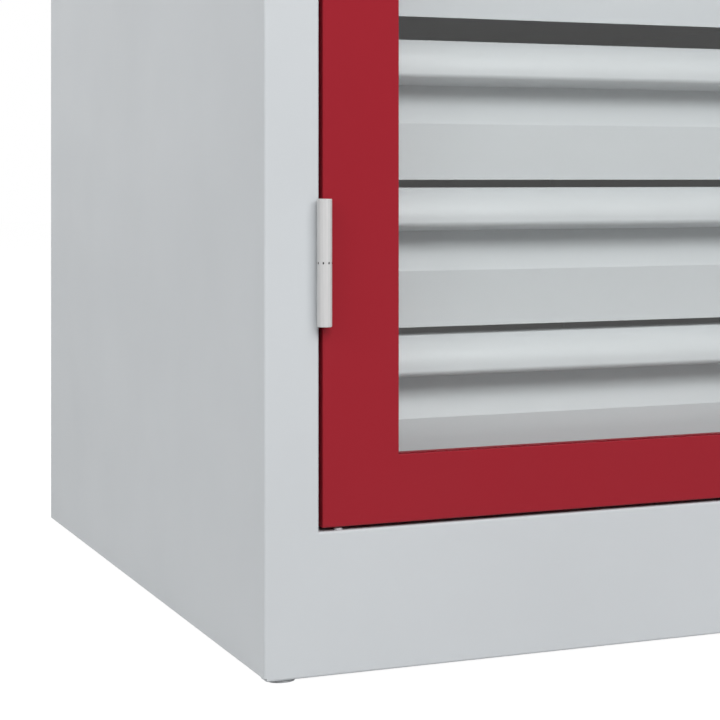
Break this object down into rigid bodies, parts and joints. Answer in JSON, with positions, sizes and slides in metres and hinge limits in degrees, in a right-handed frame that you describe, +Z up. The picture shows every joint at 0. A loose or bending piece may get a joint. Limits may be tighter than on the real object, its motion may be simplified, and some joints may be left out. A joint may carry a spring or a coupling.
{
  "type": "roll front tool cabinet",
  "caption": "Steel tool cabinet with a hinged window door, a bank of drawers with rolled grip fronts and open shelves above.",
  "frame": {"origin": "on the ground, at the middle of the overall width and depth, the handle counted in the depth", "axes": "+X to the right seen from the front, +Y to the back, +Z up"},
  "size_m": [0.6, 0.634, 1],
  "materials": {
    "casing_grey": "fine satin powder coat",
    "drawer_grey": "fine satin powder coat",
    "zinc_steel": "zinc plated",
    "hinge_white": "satin powder coat",
    "door_red": "satin powder coat",
    "clear_pane": "clear acrylic",
    "black_rubber": "matt",
    "grey_plastic": "moulded",
    "guide_plastic": "moulded",
    "lock_black": "black powder coat on a die-cast handle and plate",
    "lock_chrome": "polished"
  },
  "bodies": {
    "cabinet": {"front_frame": "casing_grey", "left_side_panel": "casing_grey", "right_side_panel": "casing_grey", "top_panel": "casing_grey", "bottom_panel": "casing_grey", "back_panel": "casing_grey", "corner_gussets": "zinc_steel", "levelling_feet": "grey_plastic", "lower_frame_knuckle": "hinge_white", "upper_frame_knuckle": "hinge_white", "lower_hinge_pin": "zinc_steel", "upper_hinge_pin": "zinc_steel", "sill_pads": "grey_plastic", "door_buffers": "black_rubber", "left_drawer_wall": "casing_grey", "right_drawer_wall": "casing_grey", "drawer_cover": "casing_grey", "drawer_1_fixed_rails": "zinc_steel", "drawer_2_fixed_rails": "zinc_steel", "drawer_3_fixed_rails": "zinc_steel", "upright_front_left": "casing_grey", "upright_rear_left": "casing_grey", "upright_front_right": "casing_grey", "upright_rear_right": "casing_grey", "shelf_1": "casing_grey", "shelf_2": "casing_grey", "shelf_clips": "zinc_steel"},
    "door": {"door_frame": "door_red", "door_inner_frame": "door_red", "window_seal": "black_rubber", "window_pane": "clear_pane", "pane_strip_bottom": "door_red", "pane_strip_top": "door_red", "pane_strip_left": "door_red", "pane_strip_right": "door_red", "pane_screws": "zinc_steel", "lower_door_knuckle": "hinge_white", "upper_door_knuckle": "hinge_white", "lock_plate": "lock_black", "rod_guides": "guide_plastic"},
    "handle": {"lock_handle": "lock_black", "lock_cylinder": "lock_chrome", "lock_spindle": "zinc_steel", "lock_disc": "zinc_steel"},
    "plug": {"lock_plug": "lock_chrome"},
    "upper_bolt": {"upper_rod": "zinc_steel"},
    "lower_bolt": {"lower_rod": "zinc_steel"},
    "drawer_1": {"drawer_1_front": "drawer_grey", "drawer_1_tray": "drawer_grey", "drawer_1_tray_rails": "zinc_steel"},
    "drawer_1_slides": {"drawer_1_middle_rails": "zinc_steel"},
    "drawer_2": {"drawer_2_front": "drawer_grey", "drawer_2_tray": "drawer_grey", "drawer_2_tray_rails": "zinc_steel"},
    "drawer_2_slides": {"drawer_2_middle_rails": "zinc_steel"},
    "drawer_3": {"drawer_3_front": "drawer_grey", "drawer_3_tray": "drawer_grey", "drawer_3_tray_rails": "zinc_steel"},
    "drawer_3_slides": {"drawer_3_middle_rails": "zinc_steel"}
  },
  "joints": [
    {"name": "door_hinge", "type": "hinge", "parent": "cabinet", "child": "door", "pos_m": [-0.2613, -0.2885, 0.5292], "axis": [0, 0, -1], "range_deg": [0, 180]},
    {"name": "handle_turn", "type": "hinge", "parent": "door", "child": "handle", "pos_m": [0.24065, -0.283, 0.53], "axis": [0, -1, 0], "range_deg": [0, 90]},
    {"name": "plug_turn", "type": "hinge", "parent": "handle", "child": "plug", "pos_m": [0.24065, -0.317, 0.53], "axis": [0, -1, 0], "range_deg": [0, 90]},
    {"name": "upper_rod_slide", "type": "slide", "parent": "door", "child": "upper_bolt", "axis": [0, 0, 1], "range_m": [0, 0.013]},
    {"name": "lower_rod_slide", "type": "slide", "parent": "door", "child": "lower_bolt", "axis": [0, 0, -1], "range_m": [0, 0.013]},
    {"name": "drawer_1_pull", "type": "slide", "parent": "cabinet", "child": "drawer_1", "axis": [0, -1, 0], "range_m": [0, 0.45]},
    {"name": "drawer_1_slide_run", "type": "slide", "parent": "cabinet", "child": "drawer_1_slides", "axis": [0, -1, 0], "range_m": [0, 0.225]},
    {"name": "drawer_2_pull", "type": "slide", "parent": "cabinet", "child": "drawer_2", "axis": [0, -1, 0], "range_m": [0, 0.45]},
    {"name": "drawer_2_slide_run", "type": "slide", "parent": "cabinet", "child": "drawer_2_slides", "axis": [0, -1, 0], "range_m": [0, 0.225]},
    {"name": "drawer_3_pull", "type": "slide", "parent": "cabinet", "child": "drawer_3", "axis": [0, -1, 0], "range_m": [0, 0.45]},
    {"name": "drawer_3_slide_run", "type": "slide", "parent": "cabinet", "child": "drawer_3_slides", "axis": [0, -1, 0], "range_m": [0, 0.225]}
  ],
  "couplings": [
    {"joint": "upper_rod_slide", "follows": "handle_turn", "m_per_rad": 0.0081028},
    {"joint": "lower_rod_slide", "follows": "handle_turn", "m_per_rad": 0.0081028},
    {"joint": "drawer_1_pull", "follows": "door_hinge", "m_per_rad": 0.045},
    {"joint": "drawer_1_slide_run", "follows": "door_hinge", "m_per_rad": 0.0225},
    {"joint": "drawer_2_pull", "follows": "door_hinge", "m_per_rad": 0.036},
    {"joint": "drawer_2_slide_run", "follows": "door_hinge", "m_per_rad": 0.018},
    {"joint": "drawer_3_pull", "follows": "door_hinge", "m_per_rad": 0.027},
    {"joint": "drawer_3_slide_run", "follows": "door_hinge", "m_per_rad": 0.0135}
  ]
}
